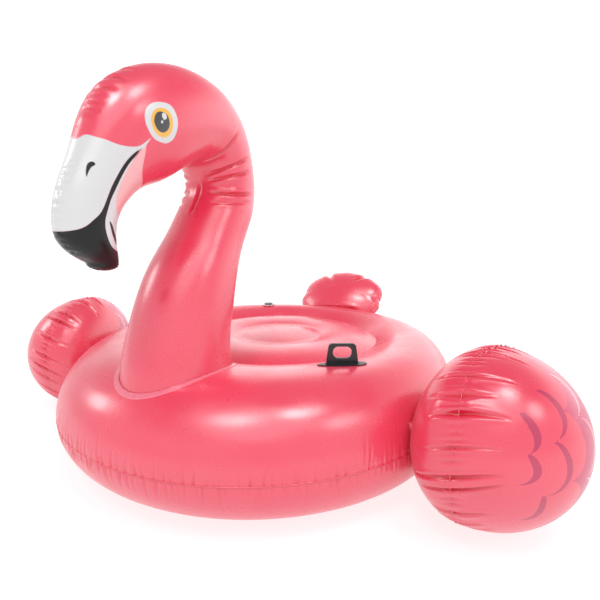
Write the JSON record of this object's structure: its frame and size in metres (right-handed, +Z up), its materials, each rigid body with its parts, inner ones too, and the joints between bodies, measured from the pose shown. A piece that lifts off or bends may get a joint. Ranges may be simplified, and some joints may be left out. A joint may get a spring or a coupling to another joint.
{
  "type": "inflatable pool float",
  "caption": "Ride-on inflatable raft shaped as a pink wading bird: round ring tube and deck, hooked neck and head, swept wings, fan tail, moulded grips and air valves.",
  "frame": {"origin": "on the ground under the middle of the whole float's bounding box", "axes": "+Z up, the bird looks along -Y, its left wing is at +X"},
  "size_m": [2.0868, 1.6006, 1.1708],
  "materials": {
    "pink_vinyl": "satin pink film, slightly see-through, puckered along the welds",
    "pale_weld": "pale pink welded film",
    "inner_film": "plain inner film",
    "black_grip": "black moulded vinyl, satin",
    "clear_valve": "milky moulded vinyl",
    "grey_valve": "dark grey moulded plastic"
  },
  "bodies": {
    "raft": {"deck_bottom_sheet": "pink_vinyl", "deck_top_sheet": "pink_vinyl", "left_grip_pad": "black_grip", "left_wing_inner_skin": "pink_vinyl", "left_wing_outer_skin": "pink_vinyl", "left_wing_root_patch": "pale_weld", "left_wing_valve_flange": "clear_valve", "main_valve_base": "clear_valve", "main_valve_insert": "grey_valve", "main_valve_tether": "grey_valve", "middle_inner_wall": "inner_film", "neck_foot_flange": "pale_weld", "neck_foot_panel": "inner_film", "neck_left_skin": "pink_vinyl", "neck_right_skin": "pink_vinyl", "neck_valve_flange": "clear_valve", "outer_inner_wall": "inner_film", "right_grip_pad": "black_grip", "right_wing_inner_skin": "pink_vinyl", "right_wing_outer_skin": "pink_vinyl", "right_wing_root_patch": "pale_weld", "right_wing_valve_flange": "clear_valve", "ring_bottom_sheet": "pink_vinyl", "ring_top_sheet": "pink_vinyl", "tail_front_skin": "pink_vinyl", "tail_rear_skin": "pink_vinyl", "tail_root_flange": "pale_weld", "tail_valve_flange": "clear_valve"},
    "left_grip": {"left_grip": "black_grip"},
    "left_wing_valve_flap": {"left_wing_valve_flap": "clear_valve"},
    "left_wing_valve_stem": {"left_wing_valve_stem": "clear_valve"},
    "left_wing_valve_stopper": {"left_wing_valve_stopper": "clear_valve"},
    "main_valve_cap": {"main_valve_cap": "grey_valve"},
    "main_valve_flap": {"main_valve_flap": "clear_valve"},
    "neck_valve_flap": {"neck_valve_flap": "clear_valve"},
    "neck_valve_stem": {"neck_valve_stem": "clear_valve"},
    "neck_valve_stopper": {"neck_valve_stopper": "clear_valve"},
    "right_grip": {"right_grip": "black_grip"},
    "right_wing_valve_flap": {"right_wing_valve_flap": "clear_valve"},
    "right_wing_valve_stem": {"right_wing_valve_stem": "clear_valve"},
    "right_wing_valve_stopper": {"right_wing_valve_stopper": "clear_valve"},
    "tail_valve_flap": {"tail_valve_flap": "clear_valve"},
    "tail_valve_stem": {"tail_valve_stem": "clear_valve"},
    "tail_valve_stopper": {"tail_valve_stopper": "clear_valve"}
  },
  "joints": [
    {"name": "left_grip_fold", "type": "hinge", "parent": "raft", "child": "left_grip", "pos_m": [0.42, -0.25183, 0.3768], "axis": [0.866, 0.5, 0], "range_deg": [-30, 30], "stiffness_Nm_per_rad": 0.15},
    {"name": "right_grip_fold", "type": "hinge", "parent": "raft", "child": "right_grip", "pos_m": [-0.42, -0.25183, 0.3768], "axis": [-0.866, 0.5, 0], "range_deg": [-30, 30], "stiffness_Nm_per_rad": 0.15},
    {"name": "neck_stem_pull", "type": "slide", "parent": "raft", "child": "neck_valve_stem", "axis": [-0.7531, 0.6319, -0.1833], "range_m": [0, 0.012]},
    {"name": "neck_stopper_pull", "type": "slide", "parent": "neck_valve_stem", "child": "neck_valve_stopper", "axis": [-0.7531, 0.6319, -0.1833], "range_m": [0, 0.015]},
    {"name": "neck_flap_dip", "type": "hinge", "parent": "neck_valve_stem", "child": "neck_valve_flap", "pos_m": [-0.08926, -0.34551, 0.53014], "axis": [-0.1404, 0.1178, 0.9831], "range_deg": [0, 50], "stiffness_Nm_per_rad": 0.002},
    {"name": "left_wing_stem_pull", "type": "slide", "parent": "raft", "child": "left_wing_valve_stem", "axis": [-0.242, 0.8518, 0.4646], "range_m": [0, 0.012]},
    {"name": "left_wing_stopper_pull", "type": "slide", "parent": "left_wing_valve_stem", "child": "left_wing_valve_stopper", "axis": [-0.242, 0.8518, 0.4646], "range_m": [0, 0.015]},
    {"name": "left_wing_flap_dip", "type": "hinge", "parent": "left_wing_valve_stem", "child": "left_wing_valve_flap", "pos_m": [0.82727, -0.00463, 0.32743], "axis": [-0.1269, 0.4469, -0.8855], "range_deg": [0, 50], "stiffness_Nm_per_rad": 0.002},
    {"name": "right_wing_stem_pull", "type": "slide", "parent": "raft", "child": "right_wing_valve_stem", "axis": [0.242, 0.8518, 0.4646], "range_m": [0, 0.012]},
    {"name": "right_wing_stopper_pull", "type": "slide", "parent": "right_wing_valve_stem", "child": "right_wing_valve_stopper", "axis": [0.242, 0.8518, 0.4646], "range_m": [0, 0.015]},
    {"name": "right_wing_flap_dip", "type": "hinge", "parent": "right_wing_valve_stem", "child": "right_wing_valve_flap", "pos_m": [-0.83352, 0.00026, 0.32172], "axis": [0.9703, -0.2124, -0.1159], "range_deg": [0, 50], "stiffness_Nm_per_rad": 0.002},
    {"name": "tail_stem_pull", "type": "slide", "parent": "raft", "child": "tail_valve_stem", "axis": [0.0934, 0.7746, -0.6255], "range_m": [0, 0.012]},
    {"name": "tail_stopper_pull", "type": "slide", "parent": "tail_valve_stem", "child": "tail_valve_stopper", "axis": [0.0934, 0.7746, -0.6255], "range_m": [0, 0.015]},
    {"name": "tail_flap_dip", "type": "hinge", "parent": "tail_valve_stem", "child": "tail_valve_flap", "pos_m": [0.05669, 0.735, 0.38504], "axis": [0.0083, -0.6289, -0.7775], "range_deg": [0, 50], "stiffness_Nm_per_rad": 0.002},
    {"name": "main_cap_open", "type": "hinge", "parent": "raft", "child": "main_valve_cap", "pos_m": [-0.28008, 0.47267, 0.37542], "axis": [-0.5, 0.866, 0], "range_deg": [0, 120]},
    {"name": "main_flap_dip", "type": "hinge", "parent": "raft", "child": "main_valve_flap", "pos_m": [-0.31212, 0.45416, 0.34662], "axis": [-0.5, 0.866, 0], "range_deg": [0, 50], "stiffness_Nm_per_rad": 0.004}
  ]
}
